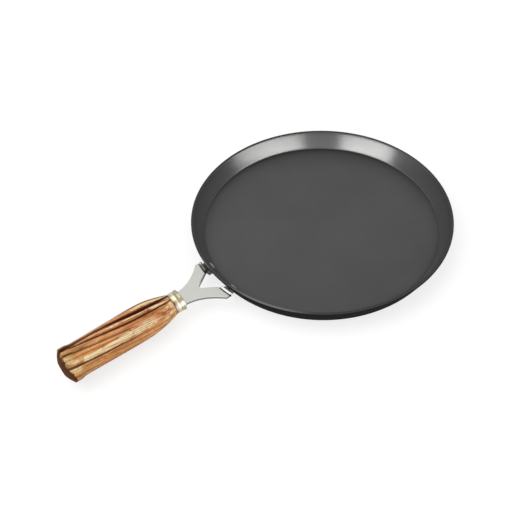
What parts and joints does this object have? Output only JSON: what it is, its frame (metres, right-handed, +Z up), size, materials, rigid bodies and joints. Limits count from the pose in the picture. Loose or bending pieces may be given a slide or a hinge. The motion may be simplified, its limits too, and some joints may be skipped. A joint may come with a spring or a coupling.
{
  "type": "tawa",
  "caption": "Shallow round griddle pan with flared walls, a forked steel bracket riveted to the wall and a contoured, fluted wooden grip.",
  "frame": {"origin": "centre of the pan's flat underside, on the surface that the pan stands on", "axes": "+Z up through the pan, the handle points along -X, Y across the handle"},
  "size_m": [0.4171, 0.26, 0.0352],
  "materials": {
    "anodised": "hard-anodised, satin charcoal",
    "satin_steel": "satin stainless",
    "rivets": "satin",
    "bright_steel": "polished",
    "wood": "carved hardwood, oiled, dark in the grooves",
    "zinc_steel": "zinc plated"
  },
  "bodies": {
    "root": {"pan": "anodised", "fork_bracket": "satin_steel", "rivet_left": "rivets", "rivet_right": "rivets", "ferrule": "bright_steel", "grip": "wood", "tie_screw": "zinc_steel", "washer": "zinc_steel"}
  },
  "joints": []
}
